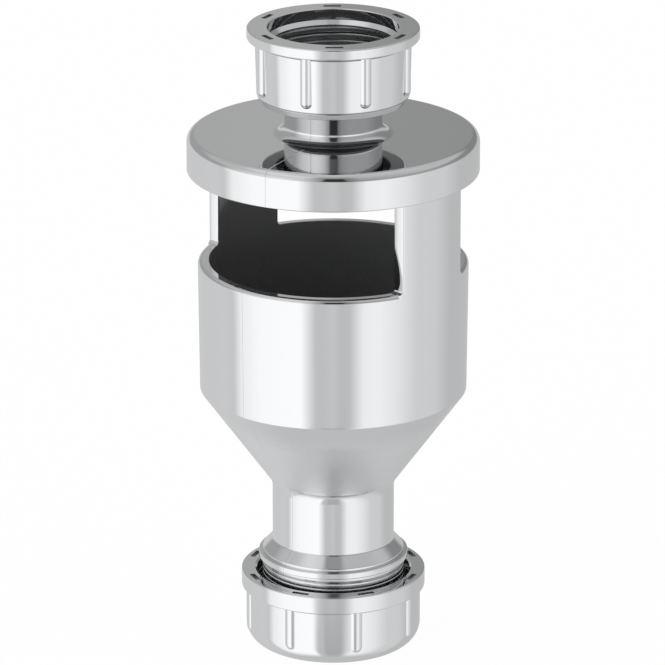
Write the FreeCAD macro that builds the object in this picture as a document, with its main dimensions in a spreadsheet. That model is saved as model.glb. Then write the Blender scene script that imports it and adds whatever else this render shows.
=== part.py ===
import FreeCAD, Part
import Sketcher
import math
import os

os.makedirs("parts", exist_ok=True)

# Chrome-plated tundish: an air-gap funnel with a capped inlet stub, two windows and a compression outlet.
# It stands on its outlet nut. +Z is up, the origin is the middle of the nut's flat end,
# the posts are on the X axis and the windows open along Y. All sizes are in millimetres.

DRIVING_SIZES = [
    ("pipe_radius", 16.0, "outside of the waste pipe that the outlet takes"),
    ("pipe_clearance", 0.3, "radial room round that pipe in its socket"),
    ("stop_width", 1.1, "shoulder that stops the pipe"),
    ("neck_wall", 3.45, "wall of the neck round the socket"),
    ("seat_flare", 5.0, "how far the seal's conical seat opens beyond the socket"),
    ("seat_height", 6.0, "height of that seat"),
    ("spigot_rim", 1.6, "flat end of the spigot outside the seat"),
    ("outlet_thread_depth", 1.5, "depth of the spigot's thread, root to crest"),
    ("spigot_length", 22.1, "threaded spigot, end to collar"),
    ("collar_height", 2.1, "plain collar above the thread"),
    ("shoulder_step", 0.1, "shoulder above the collar, beyond the thread's root"),
    ("shoulder_height", 1.0, "that upright shoulder, collar to flare"),
    ("flare_height", 3.9, "cone between shoulder and neck"),
    ("neck_length", 19.2, "straight neck"),
    ("stop_drop", 0.1, "pipe stop below the top of the flare"),
    ("cone_height", 32.1, "funnel cone"),
    ("throat_drop", 1.2, "foot of the inner cone below the outer one"),
    ("body_radius", 43.55, "outside of the bowl's rim and of the posts"),
    ("bowl_draft", 0.45, "how much the bowl narrows down to the cone"),
    ("body_wall", 3.75, "wall of bowl and posts"),
    ("bowl_height", 43.1, "bowl, from the cone to the window sill"),
    ("rim_band", 3.0, "upright band under the sill, where the bowl has no draft"),
    ("window_height", 32.3, "window, from the sill to the crown ring"),
    ("crown_height", 7.0, "ring that joins the posts under the cap"),
    ("post_half_width", 14.9, "half the width of a post"),
    ("sill_round", 1.4, "rounding of the sill's outer edge"),
    ("bowl_corner", 1.0, "rounding between bowl and cone"),
    ("neck_blend", 6.0, "fillet between cone and neck"),
    ("flare_blend", 2.2, "fillet between neck and flare"),
    ("skirt_clearance", 0.35, "radial room between the crown ring and the skirt"),
    ("skirt_wall", 3.0, "wall of the cap's skirt"),
    ("skirt_drop", 9.1, "skirt below the cap's plate"),
    ("plate_thickness", 3.0, "the cap's plate"),
    ("cap_round", 2.6, "rounding of the cap's top edge"),
    ("skirt_round", 0.5, "rounding of the skirt's lower outer edge"),
    ("stub_radius", 16.05, "outside of the inlet stub"),
    ("stub_wall", 2.55, "wall of the stub"),
    ("stub_foot", 6.0, "fillet between stub and plate"),
    ("stub_reach", 11.4, "stub seen between the plate and the inlet nut"),
    ("lip_gap", 2.35, "radial gap between the inlet nut's lip and the stub"),
    ("lip_height", 2.8, "the inlet nut's lip"),
    ("flange_play", 0.3, "play between that lip and the stub's flange"),
    ("flange_catch", 0.8, "how far the stub's flange reaches over the lip"),
    ("flange_height", 2.2, "the stub's end flange"),
    ("thread_room", 1.76, "thread root beyond the stub's flange"),
    ("relief_step", 0.46, "step from the thread root to the washer's chamber"),
    ("chamber_height", 6.0, "washer's chamber above the lip"),
    ("inlet_nut_wall", 3.54, "wall of the inlet nut at its lower end"),
    ("inlet_nut_draft", 0.5, "how much the inlet nut widens upward"),
    ("inlet_nut_height", 23.7, "inlet nut, end to end"),
    ("inlet_chamfer_in", 1.9, "inward run of the inlet nut's lower chamfer"),
    ("inlet_chamfer_up", 3.0, "height of that chamfer"),
    ("inlet_rim_reach", 2.6, "the inlet nut's rim beyond its body"),
    ("inlet_rim_height", 3.6, "height of that rim"),
    ("inlet_rim_round", 0.5, "rounding of the rim's two edges"),
    ("inlet_rim_blend", 1.0, "fillet under the rim"),
    ("inlet_rib_round", 2.0, "radius of the inlet nut's ribs"),
    ("inlet_rib_sink", 0.4, "centre of those ribs inside the wall"),
    ("inlet_rib_foot", 3.8, "lower end of those ribs above the nut's end"),
    ("inlet_slot_inset", 2.0, "slots in the rim, out from the bore"),
    ("inlet_turn", 20.8, "turn of the inlet nut about the axis, in degrees"),
    ("inlet_slot_turn", 51.25, "turn of its slots from its ribs, in degrees"),
    ("washer_bore_step", 0.4, "washer's hole beyond the stub's bore"),
    ("washer_gap", 0.3, "washer inside its chamber"),
    ("washer_thickness", 3.0, "inlet washer"),
    ("outlet_thread_gap", 0.6, "outlet nut's thread root beyond the spigot's crest"),
    ("outlet_nut_wall", 3.4, "wall of the outlet nut above its rounded end"),
    ("outlet_nut_height", 25.1, "outlet nut, end to end"),
    ("outlet_nut_round", 6.5, "rounding of its lower edge"),
    ("outlet_rim_reach", 1.5, "its rim beyond its body"),
    ("outlet_rim_height", 5.4, "height of that rim"),
    ("outlet_rim_round", 0.4, "rounding of the rim's edges"),
    ("outlet_mouth_chamfer", 0.5, "chamfer at the mouth of the outlet nut"),
    ("outlet_lip_height", 4.0, "inward lip of the outlet nut"),
    ("outlet_lip_gap", 0.7, "lip round the pipe socket's radius"),
    ("outlet_rib_round", 2.5, "radius of the outlet nut's ribs"),
    ("outlet_rib_sink", 1.75, "centre of those ribs inside the wall"),
    ("outlet_rib_foot", 5.5, "lower end of those ribs above the nut's end"),
    ("outlet_slot_inset", 1.2, "slots in the rim, out from the bore"),
    ("outlet_turn", 11.8, "turn of the outlet nut about the axis, in degrees"),
    ("outlet_slot_turn", 7.0, "turn of its slots from its ribs, in degrees"),
    ("slip_ring_thickness", 1.2, "slip ring under the seal"),
    ("slip_ring_gap", 0.6, "slip ring inside the outlet nut"),
    ("seal_base", 2.0, "flat foot of the seal, clamped by the spigot"),
    ("seal_bore_step", 0.2, "seal's hole beyond the pipe socket"),
    ("seal_short", 1.2, "seal's taper ends short of the seat's top"),
    ("slot_length", 5.4, "length of every slot, along the rim"),
    ("slot_width", 1.4, "width of every slot"),
    ("slot_depth", 1.2, "depth of every slot"),
]

# Radii and levels worked out from the driving sizes. Levels are above the foot of the piece they belong to.
WORKED_OUT_SIZES = [
    ("socket_radius", "pipe_radius + pipe_clearance"),
    ("throat_radius", "socket_radius - stop_width"),
    ("neck_radius", "socket_radius + neck_wall"),
    ("seat_radius", "socket_radius + seat_flare"),
    ("spigot_radius", "seat_radius + spigot_rim"),
    ("collar_radius", "spigot_radius + outlet_thread_depth"),
    ("cone_radius", "body_radius - bowl_draft"),
    ("crown_bore", "body_radius - body_wall"),
    ("bowl_bore", "cone_radius - body_wall"),
    ("collar_foot", "spigot_length"),
    ("collar_top", "collar_foot + collar_height"),
    ("shoulder_radius", "spigot_radius + shoulder_step"),
    ("flare_foot", "collar_top + shoulder_height"),
    ("neck_foot", "flare_foot + flare_height"),
    ("stop_level", "neck_foot - stop_drop"),
    ("neck_top", "neck_foot + neck_length"),
    ("throat_top", "neck_top - throat_drop"),
    ("cone_top", "neck_top + cone_height"),
    ("sill", "cone_top + bowl_height"),
    ("rim_foot", "sill - rim_band"),
    ("window_top", "sill + window_height"),
    ("crown_top", "window_top + crown_height"),
    ("skirt_bore", "body_radius + skirt_clearance"),
    ("cap_radius", "skirt_bore + skirt_wall"),
    ("stub_bore", "stub_radius - stub_wall"),
    ("lip_bore", "stub_radius + lip_gap"),
    ("stub_flange", "lip_bore + flange_catch"),
    ("inlet_thread", "stub_flange + thread_room"),
    ("chamber_bore", "inlet_thread - relief_step"),
    ("inlet_foot_radius", "inlet_thread + inlet_nut_wall"),
    ("inlet_body_radius", "inlet_foot_radius + inlet_nut_draft"),
    ("inlet_rim", "inlet_body_radius + inlet_rim_reach"),
    ("inlet_end_radius", "inlet_foot_radius - inlet_chamfer_in"),
    ("inlet_rim_foot", "inlet_nut_height - inlet_rim_height"),
    ("chamber_top", "lip_height + chamber_height"),
    ("inlet_slot_inner", "inlet_thread + inlet_slot_inset"),
    ("inlet_slot_outer", "inlet_slot_inner + slot_width"),
    ("slot_half", "slot_length / 2"),
    ("inlet_rib_axis", "inlet_foot_radius - inlet_rib_sink"),
    ("inlet_rib_low", "inlet_rib_foot + inlet_rib_round"),
    ("inlet_rib_run", "inlet_rim_foot + inlet_rim_height / 2 - inlet_rib_low"),
    ("flange_foot", "plate_thickness + stub_reach + lip_height + flange_play"),
    ("stub_end", "flange_foot + flange_height"),
    ("washer_bore", "stub_bore + washer_bore_step"),
    ("washer_radius", "chamber_bore - washer_gap"),
    ("outlet_thread", "collar_radius + outlet_thread_gap"),
    ("outlet_body_radius", "outlet_thread + outlet_nut_wall"),
    ("outlet_rim", "outlet_body_radius + outlet_rim_reach"),
    ("outlet_rim_foot", "outlet_nut_height - outlet_rim_height"),
    ("outlet_mouth", "outlet_thread + outlet_mouth_chamfer"),
    ("outlet_chamfer_foot", "outlet_nut_height - outlet_mouth_chamfer"),
    ("outlet_lip_bore", "socket_radius + outlet_lip_gap"),
    ("outlet_slot_inner", "outlet_thread + outlet_slot_inset"),
    ("outlet_slot_outer", "outlet_slot_inner + slot_width"),
    ("outlet_rib_axis", "outlet_body_radius - outlet_rib_sink"),
    ("outlet_rib_low", "outlet_rib_foot + outlet_rib_round"),
    ("outlet_rib_run", "outlet_rim_foot + outlet_rim_height / 2 - outlet_rib_low"),
    ("slip_ring_radius", "outlet_thread - slip_ring_gap"),
    ("seal_bore", "socket_radius + seal_bore_step"),
    ("seal_radius", "spigot_radius"),
    ("seal_tip_share", "(seat_height - seal_short) / seat_height"),
    ("seal_tip_radius", "seat_radius - seat_flare * seal_tip_share"),
    ("seal_height", "seal_base + seat_height - seal_short"),
    ("seal_level", "outlet_lip_height + slip_ring_thickness"),
    ("body_level", "seal_level + seal_base"),
    ("cap_level", "body_level + crown_top"),
    ("inlet_nut_level", "cap_level + plate_thickness + stub_reach"),
    ("washer_level", "cap_level + stub_end"),
]

NEAR = 1e-4
UPWARD = FreeCAD.Vector(0, 0, 1)
POST_COUNT = 2
RIB_COUNT = 8
INLET_SLOT_COUNT = 6
OUTLET_SLOT_COUNT = 8

doc = FreeCAD.newDocument("tundish")
sheet = doc.addObject("Spreadsheet::Sheet", "Sizes")


def fill_sheet():
    """Writes the driving sizes as plain numbers and the worked-out ones as formulas."""
    row = 1
    for name, value, note in DRIVING_SIZES:
        sheet.set(f"A{row}", name)
        sheet.set(f"B{row}", str(value))
        sheet.set(f"C{row}", note)
        sheet.setAlias(f"B{row}", name)
        row += 1
    for name, formula in WORKED_OUT_SIZES:
        sheet.set(f"A{row}", name)
        sheet.setAlias(f"B{row}", name)
        sheet.set(f"B{row}", "=" + formula)
        row += 1
    doc.recompute()


def size(name):
    """Value of a named size; a leading minus gives its negative."""
    if name.startswith("-"):
        return -float(sheet.get(name[1:]))
    return float(sheet.get(name))


def cell(name):
    """The same size as an expression."""
    if name.startswith("-"):
        return "-Sizes." + name[1:]
    return "Sizes." + name


def origin_part(body, role):
    """Plane or axis of the body's own origin."""
    for item in body.Origin.OriginFeatures:
        if item.Role == role:
            return item
    raise ValueError(role)


def new_body(label, level=None, turn=None):
    """Body of one sub-part, lifted to its level and turned about the axis."""
    body = doc.addObject("PartDesign::Body", label)
    body.Label = label
    body.Placement = FreeCAD.Placement(FreeCAD.Vector(0, 0, 0), FreeCAD.Rotation(UPWARD, 0))
    if level:
        body.setExpression("Placement.Base.z", cell(level))
    if turn:
        body.Placement.Rotation = FreeCAD.Rotation(UPWARD, size(turn))
        body.setExpression("Placement.Rotation.Angle", cell(turn))
    return body


def pin_corner(sketch, line, kind, name):
    """Holds one coordinate of a line's start at a named size, or on the axis where there is none."""
    if name is None:
        axis = -2 if kind == "DistanceX" else -1
        sketch.addConstraint(Sketcher.Constraint("PointOnObject", line, 1, axis))
        return
    index = sketch.addConstraint(Sketcher.Constraint(kind, -1, 1, line, 1, size(name)))
    sketch.setExpression(f"Constraints[{index}]", cell(name))


def add_outline(sketch, corners):
    """Closed outline of straight lines through corners of named sizes; None is a zero."""
    points = []
    for across, up in corners:
        points.append(FreeCAD.Vector(size(across) if across else 0, size(up) if up else 0, 0))
    first = sketch.GeometryCount
    count = len(points)
    for i in range(count):
        sketch.addGeometry(Part.LineSegment(points[i], points[(i + 1) % count]), False)
    for i in range(count):
        sketch.addConstraint(Sketcher.Constraint("Coincident", first + i, 2, first + (i + 1) % count, 1))
    for i, (across, up) in enumerate(corners):
        pin_corner(sketch, first + i, "DistanceX", across)
        pin_corner(sketch, first + i, "DistanceY", up)


def new_sketch(body, name, role, outlines):
    """Sketch on one of the body's origin planes."""
    sketch = body.newObject("Sketcher::SketchObject", name)
    sketch.AttachmentSupport = [(origin_part(body, role), "")]
    sketch.MapMode = "FlatFace"
    for corners in outlines:
        add_outline(sketch, corners)
    return sketch


def turned(body, name, corners, kind="PartDesign::Revolution"):
    """Solid or cut turned from an outline in the XZ plane about the Z axis."""
    sketch = new_sketch(body, name + "_outline", "XZ_Plane", [corners])
    feature = body.newObject(kind, name)
    feature.Profile = sketch
    feature.ReferenceAxis = (sketch, ["V_Axis"])
    feature.Angle = 360
    doc.recompute()
    return feature


def round_edges(body, name, radius, wanted):
    """Fillet on those edges of the body's last feature that the test accepts."""
    base = body.Tip
    names = [f"Edge{i + 1}" for i, edge in enumerate(base.Shape.Edges) if wanted(edge)]
    if not names:
        raise ValueError(f"{body.Label}: no edge for {name}")
    fillet = body.newObject("PartDesign::Fillet", name)
    fillet.Base = (base, names)
    fillet.Radius = size(radius)
    fillet.setExpression("Radius", cell(radius))
    doc.recompute()


def ring_at(radius, level):
    """Test for circular edges about the axis with this radius at this level."""
    def wanted(edge):
        if not isinstance(edge.Curve, Part.Circle):
            return False
        flat = abs(edge.Curve.Center.z - (size(level) if level else 0)) < NEAR
        return flat and abs(edge.Curve.Radius - size(radius)) < NEAR
    return wanted


def pattern(body, name, originals, count):
    """Copies of features, evenly spaced about the Z axis."""
    copies = body.newObject("PartDesign::PolarPattern", name)
    copies.Originals = originals
    copies.Axis = (origin_part(body, "Z_Axis"), [""])
    copies.Angle = 360
    copies.Occurrences = count
    body.Tip = copies
    doc.recompute()


def grip_ribs(body, prefix):
    """Grip ribs on a nut: upright round bars half sunk in the wall, with rounded lower ends."""
    bar = body.newObject("PartDesign::AdditiveCylinder", prefix + "_rib")
    bar.setExpression("Radius", cell(prefix + "_rib_round"))
    bar.setExpression("Height", cell(prefix + "_rib_run"))
    bar.setExpression("Placement.Base.x", cell(prefix + "_rib_axis"))
    bar.setExpression("Placement.Base.z", cell(prefix + "_rib_low"))
    doc.recompute()
    end = body.newObject("PartDesign::AdditiveSphere", prefix + "_rib_end")
    end.setExpression("Radius", cell(prefix + "_rib_round"))
    end.setExpression("Placement.Base.x", cell(prefix + "_rib_axis"))
    end.setExpression("Placement.Base.z", cell(prefix + "_rib_low"))
    doc.recompute()
    pattern(body, prefix + "_ribs", [bar, end], RIB_COUNT)


def rim_slots(body, prefix, count):
    """Shallow slots sunk in the flat top of a nut's rim, each along the rim."""
    inner = prefix + "_slot_inner"
    outer = prefix + "_slot_outer"
    corners = [(inner, "-slot_half"), (outer, "-slot_half"), (outer, "slot_half"), (inner, "slot_half")]
    sketch = new_sketch(body, prefix + "_slot_outline", "XY_Plane", [corners])
    turn = FreeCAD.Rotation(UPWARD, size(prefix + "_slot_turn"))
    sketch.AttachmentOffset = FreeCAD.Placement(FreeCAD.Vector(0, 0, 0), turn)
    sketch.setExpression("AttachmentOffset.Base.z", cell(prefix + "_nut_height"))
    sketch.setExpression("AttachmentOffset.Rotation.Angle", cell(prefix + "_slot_turn"))
    doc.recompute()
    before = body.Shape.Volume
    slot = body.newObject("PartDesign::Pocket", prefix + "_slot")
    slot.Profile = sketch
    slot.setExpression("Length", cell("slot_depth"))
    doc.recompute()
    if slot.Shape.Volume >= before:
        raise ValueError(f"{body.Label}: the slot cuts nothing")
    pattern(body, prefix + "_slots", [slot], count)


def add_post_section(sketch):
    """Section of a post: two arcs about the axis, closed by straight sides parallel to the X axis."""
    inner = size("crown_bore")
    outer = size("body_radius")
    half = size("post_half_width")
    inner_angle = math.asin(half / inner)
    outer_angle = math.asin(half / outer)
    middle = FreeCAD.Vector(0, 0, 0)
    arcs = []
    for radius, angle in ((inner, inner_angle), (outer, outer_angle)):
        circle = Part.Circle(middle, UPWARD, radius)
        arcs.append(sketch.addGeometry(Part.ArcOfCircle(circle, -angle, angle), False))
    sides = []
    for side in (-half, half):
        near = FreeCAD.Vector(math.sqrt(inner ** 2 - half ** 2), side, 0)
        far = FreeCAD.Vector(math.sqrt(outer ** 2 - half ** 2), side, 0)
        sides.append(sketch.addGeometry(Part.LineSegment(near, far), False))
    for arc in arcs:
        sketch.addConstraint(Sketcher.Constraint("Coincident", arc, 3, -1, 1))
    for end, side in enumerate(sides):
        sketch.addConstraint(Sketcher.Constraint("Coincident", side, 1, arcs[0], end + 1))
        sketch.addConstraint(Sketcher.Constraint("Coincident", side, 2, arcs[1], end + 1))
        sketch.addConstraint(Sketcher.Constraint("Horizontal", side))
    for arc, name in zip(arcs, ("crown_bore", "body_radius")):
        index = sketch.addConstraint(Sketcher.Constraint("Radius", arc, size(name)))
        sketch.setExpression(f"Constraints[{index}]", cell(name))
    for side, name in zip(sides, ("-post_half_width", "post_half_width")):
        index = sketch.addConstraint(Sketcher.Constraint("DistanceY", -1, 1, side, 1, size(name)))
        sketch.setExpression(f"Constraints[{index}]", cell(name))


def make_body():
    """Posts, bowl, funnel cone, neck and threaded spigot, one moulding with a window on each side."""
    body = new_body("body", "body_level")
    turned(body, "shell", [
        ("seat_radius", None),
        ("spigot_radius", None),
        ("spigot_radius", "collar_foot"),
        ("collar_radius", "collar_foot"),
        ("collar_radius", "collar_top"),
        ("shoulder_radius", "collar_top"),
        ("shoulder_radius", "flare_foot"),
        ("neck_radius", "neck_foot"),
        ("neck_radius", "neck_top"),
        ("cone_radius", "cone_top"),
        ("body_radius", "rim_foot"),
        ("body_radius", "sill"),
        ("crown_bore", "sill"),
        ("bowl_bore", "cone_top"),
        ("throat_radius", "throat_top"),
        ("throat_radius", "stop_level"),
        ("socket_radius", "stop_level"),
        ("socket_radius", "seat_height"),
    ])
    round_edges(body, "cone_to_neck", "neck_blend", ring_at("neck_radius", "neck_top"))
    round_edges(body, "neck_to_flare", "flare_blend", ring_at("neck_radius", "neck_foot"))
    round_edges(body, "bowl_to_cone", "bowl_corner", ring_at("cone_radius", "cone_top"))
    round_edges(body, "sill_edge", "sill_round", ring_at("body_radius", "sill"))
    section = new_sketch(body, "post_section", "XY_Plane", [])
    add_post_section(section)
    section.setExpression("AttachmentOffset.Base.z", cell("rim_foot"))
    doc.recompute()
    post = body.newObject("PartDesign::Pad", "post")
    post.Profile = section
    post.setExpression("Length", "Sizes.window_top - Sizes.rim_foot")
    doc.recompute()
    pattern(body, "posts", [post], POST_COUNT)
    turned(body, "crown", [
        ("crown_bore", "window_top"),
        ("body_radius", "window_top"),
        ("body_radius", "crown_top"),
        ("crown_bore", "crown_top"),
    ])
    return body


def make_cap():
    """Flat lid with a down-turned skirt, and the inlet stub with its end flange, one moulding."""
    cap = new_body("cap", "cap_level")
    turned(cap, "lid", [
        ("skirt_bore", None),
        ("skirt_bore", "-skirt_drop"),
        ("cap_radius", "-skirt_drop"),
        ("cap_radius", "plate_thickness"),
        ("stub_radius", "plate_thickness"),
        ("stub_radius", "flange_foot"),
        ("stub_flange", "flange_foot"),
        ("stub_flange", "stub_end"),
        ("stub_bore", "stub_end"),
        ("stub_bore", None),
    ])
    round_edges(cap, "stub_foot_fillet", "stub_foot", ring_at("stub_radius", "plate_thickness"))
    round_edges(cap, "lid_edge", "cap_round", ring_at("cap_radius", "plate_thickness"))
    round_edges(cap, "skirt_edge", "skirt_round", ring_at("cap_radius", "-skirt_drop"))
    return cap


def make_inlet_nut():
    """Coupling nut, loose on the stub, with its open threaded end up."""
    nut = new_body("inlet_nut", "inlet_nut_level", "inlet_turn")
    turned(nut, "nut_blank", [
        (None, None),
        ("inlet_end_radius", None),
        ("inlet_foot_radius", "inlet_chamfer_up"),
        ("inlet_body_radius", "inlet_rim_foot"),
        ("inlet_rim", "inlet_rim_foot"),
        ("inlet_rim", "inlet_nut_height"),
        (None, "inlet_nut_height"),
    ])
    round_edges(nut, "rim_top", "inlet_rim_round", ring_at("inlet_rim", "inlet_nut_height"))
    round_edges(nut, "rim_foot", "inlet_rim_round", ring_at("inlet_rim", "inlet_rim_foot"))
    round_edges(nut, "under_rim", "inlet_rim_blend", ring_at("inlet_body_radius", "inlet_rim_foot"))
    grip_ribs(nut, "inlet")
    blank = nut.Shape.Volume
    bore = turned(nut, "nut_bore", [
        (None, None),
        ("lip_bore", None),
        ("lip_bore", "lip_height"),
        ("chamber_bore", "lip_height"),
        ("chamber_bore", "chamber_top"),
        ("inlet_thread", "chamber_top"),
        ("inlet_thread", "inlet_nut_height"),
        (None, "inlet_nut_height"),
    ], "PartDesign::Groove")
    if bore.Shape.Volume >= blank:
        raise ValueError("the inlet nut's bore cuts nothing")
    rim_slots(nut, "inlet", INLET_SLOT_COUNT)
    return nut


def make_outlet_nut():
    """Compression nut on the spigot; the tundish stands on its flat end."""
    nut = new_body("outlet_nut", None, "outlet_turn")
    turned(nut, "cup_blank", [
        (None, None),
        ("outlet_body_radius", None),
        ("outlet_body_radius", "outlet_rim_foot"),
        ("outlet_rim", "outlet_rim_foot"),
        ("outlet_rim", "outlet_nut_height"),
        (None, "outlet_nut_height"),
    ])
    round_edges(nut, "cup_round", "outlet_nut_round", ring_at("outlet_body_radius", None))
    round_edges(nut, "cup_rim_top", "outlet_rim_round", ring_at("outlet_rim", "outlet_nut_height"))
    round_edges(nut, "cup_rim_foot", "outlet_rim_round", ring_at("outlet_rim", "outlet_rim_foot"))
    grip_ribs(nut, "outlet")
    blank = nut.Shape.Volume
    bore = turned(nut, "cup_bore", [
        (None, None),
        ("outlet_lip_bore", None),
        ("outlet_lip_bore", "outlet_lip_height"),
        ("outlet_thread", "outlet_lip_height"),
        ("outlet_thread", "outlet_chamfer_foot"),
        ("outlet_mouth", "outlet_nut_height"),
        (None, "outlet_nut_height"),
    ], "PartDesign::Groove")
    if bore.Shape.Volume >= blank:
        raise ValueError("the outlet nut's bore cuts nothing")
    rim_slots(nut, "outlet", OUTLET_SLOT_COUNT)
    return nut


def make_ring(label, level, inner, outer, height):
    """Plain flat ring."""
    ring = new_body(label, level)
    turned(ring, label + "_ring", [(inner, None), (outer, None), (outer, height), (inner, height)])
    return ring


def make_slip_ring():
    """Thin ring on the outlet nut's lip, which lets the nut turn against the seal."""
    return make_ring("outlet_slip_ring", "outlet_lip_height", "outlet_lip_bore", "slip_ring_radius",
                     "slip_ring_thickness")


def make_inlet_washer():
    """Rubber washer on the stub's end, in the inlet nut's chamber."""
    return make_ring("inlet_washer", "washer_level", "washer_bore", "washer_radius", "washer_thickness")


def make_outlet_seal():
    """Tapered rubber ring: a flat foot under the spigot's end and a cone in the spigot's seat."""
    seal = new_body("outlet_seal", "seal_level")
    turned(seal, "seal_ring", [
        ("seal_bore", None),
        ("seal_radius", None),
        ("seal_radius", "seal_base"),
        ("seat_radius", "seal_base"),
        ("seal_tip_radius", "seal_height"),
        ("seal_bore", "seal_height"),
    ])
    return seal


fill_sheet()
pieces = [
    make_outlet_nut(),
    make_slip_ring(),
    make_outlet_seal(),
    make_body(),
    make_cap(),
    make_inlet_washer(),
    make_inlet_nut(),
]
doc.recompute()

for item in doc.Objects:
    if "Invalid" in item.State or "Error" in item.State:
        raise ValueError(f"{item.Label} failed: {item.State}")
for piece in pieces:
    if piece.Shape.isNull() or not piece.Shape.isValid():
        raise ValueError(f"{piece.Label} has no valid shape")
    print(piece.Label, round(piece.Shape.Volume), "mm3", len(piece.Shape.Faces), "faces")
    piece.Shape.exportStep(f"parts/{piece.Label}.step")
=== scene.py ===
# %% [markdown]
# # A chrome tundish
# A tundish is the open funnel in a discharge pipe. Water falls from the inlet stub through an
# air gap, which the two windows leave, into a bowl, and runs out below. This one is moulded in
# plastic and chrome plated, so nearly all of its look is reflection: the pieces need smooth,
# dense meshes with true roundings, and the studio round them needs the right light and dark.
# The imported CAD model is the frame. Its visible mouldings are turned again here, finer, from the
# same sizes, because the coarse facets of a collision model would show in chrome.

# %% Load the frame
import bpy, bmesh, math
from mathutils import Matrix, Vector


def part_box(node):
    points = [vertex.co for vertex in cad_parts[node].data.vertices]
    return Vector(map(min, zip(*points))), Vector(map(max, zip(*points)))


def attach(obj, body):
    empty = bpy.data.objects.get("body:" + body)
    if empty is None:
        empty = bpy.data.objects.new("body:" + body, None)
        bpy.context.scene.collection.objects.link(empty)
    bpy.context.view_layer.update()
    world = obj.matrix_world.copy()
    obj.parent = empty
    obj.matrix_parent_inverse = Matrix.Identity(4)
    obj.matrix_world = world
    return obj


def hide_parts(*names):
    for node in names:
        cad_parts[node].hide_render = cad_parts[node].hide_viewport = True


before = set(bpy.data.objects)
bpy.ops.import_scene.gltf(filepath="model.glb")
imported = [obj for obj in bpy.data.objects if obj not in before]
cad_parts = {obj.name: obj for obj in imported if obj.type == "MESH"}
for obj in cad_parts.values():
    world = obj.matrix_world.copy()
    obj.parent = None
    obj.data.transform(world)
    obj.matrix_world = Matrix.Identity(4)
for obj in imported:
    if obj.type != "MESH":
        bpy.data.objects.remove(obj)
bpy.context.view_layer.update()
MM = 0.001
TURN = 2 * math.pi
print("frame", sorted(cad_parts))

# %% [markdown]
# ## Levels
# The frame gives each node's box, and with it the levels at which the pieces meet. What a box
# can't say, such as a wall or a rounding, is a named size in millimetres beside its piece.


# %% Levels from the frame
def foot(node):
    """Lowest level of a node, in millimetres."""
    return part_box(node)[0][2] / MM


def top(node):
    """Highest level of a node, in millimetres."""
    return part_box(node)[1][2] / MM


BODY_FOOT, BODY_TOP = foot("body"), top("body")
CAP_FOOT, STUB_TOP = foot("cap"), top("cap")
INLET_FOOT, INLET_TOP = foot("inlet_nut"), top("inlet_nut")
OUTLET_TOP = top("outlet_nut")
print("body", round(BODY_FOOT, 2), "to", round(BODY_TOP, 2))
print("inlet nut", round(INLET_FOOT, 2), "to", round(INLET_TOP, 2))

# %% [markdown]
# ## Turning a piece
# Nearly every piece here is turned: one closed outline, swept about the pipe's axis. A Screw
# modifier would do it, but making the mesh directly lets each stretch of the outline carry its
# own material, chrome outside and bare black plastic inside. The outline is a list of corners,
# each with its own rounding, and the helper puts an arc of short steps where two runs meet.
#
# Smooth shading averages the directions of the faces that meet at a point. Where an arc meets a
# long wall, that average would spread over the whole wall, and chrome would reflect as if the
# wall were bent. So a long run gets one more point just inside each of its ends.

# %% Outlines with rounded corners
ARC_STEP = math.radians(7)
LONG_RUN, HOLD = 1.2, 0.08
# Places in a piece's own list of materials. The second one is black plastic in the body and the
# cap, and in the nuts a dull plate whose darker colour is painted shade.
CHROME, BLACK, PAINTED_SHADE = 0, 1, 1


def rounded(corners):
    """Closed outline from corners (radius, level, rounding, material of the run that follows)."""
    outline = []
    for i, (r, z, rounding, material) in enumerate(corners):
        here = Vector((r, z))
        if rounding == 0:
            outline.append((here, material))
            continue
        back = (Vector(corners[i - 1][:2]) - here).normalized()
        on = (Vector(corners[(i + 1) % len(corners)][:2]) - here).normalized()
        half = back.angle(on) / 2
        run = rounding / math.tan(half)
        middle = here + (back + on).normalized() * (rounding / math.sin(half))
        first = here + back * run - middle
        last = here + on * run - middle
        steps = max(2, math.ceil(first.angle(last) / ARC_STEP))
        start = math.atan2(first.y, first.x)
        sweep = math.remainder(math.atan2(last.y, last.x) - start, TURN)
        for step in range(steps + 1):
            angle = start + sweep * step / steps
            spoke = Vector((math.cos(angle), math.sin(angle))) * rounding
            outline.append((middle + spoke, material))
    return held(outline)


def held(outline):
    """Outline with a point just inside each end of a long run, so that its shading stays flat."""
    points = []
    for i, (here, material) in enumerate(outline):
        following = outline[(i + 1) % len(outline)][0]
        points.append((here, material))
        run = following - here
        if run.length > LONG_RUN:
            hold = run.normalized() * HOLD
            points += [(here + hold, material), (following - hold, material)]
    return points


square = [(r, z, 0.1, CHROME) for r, z in ((1, 0), (2, 0), (2, 1), (1, 1))]
print("outline of a rounded square:", len(rounded(square)), "points")


# %% Turned meshes
SEGMENTS = 288
SHARP = math.radians(32)


def turned(bm, corners):
    """Adds a closed ring to a bmesh: the outline swept about the Z axis."""
    outline = rounded(corners)
    rings = []
    for s in range(SEGMENTS):
        angle = TURN * s / SEGMENTS
        ring = []
        for point, _ in outline:
            x, y = point.x * MM * math.cos(angle), point.x * MM * math.sin(angle)
            ring.append(bm.verts.new((x, y, point.y * MM)))
        rings.append(ring)
    for s, ring in enumerate(rings):
        following = rings[(s + 1) % SEGMENTS]
        for i, (_, material) in enumerate(outline):
            j = (i + 1) % len(outline)
            face = bm.faces.new((ring[i], following[i], following[j], ring[j]))
            face.material_index = material


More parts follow.
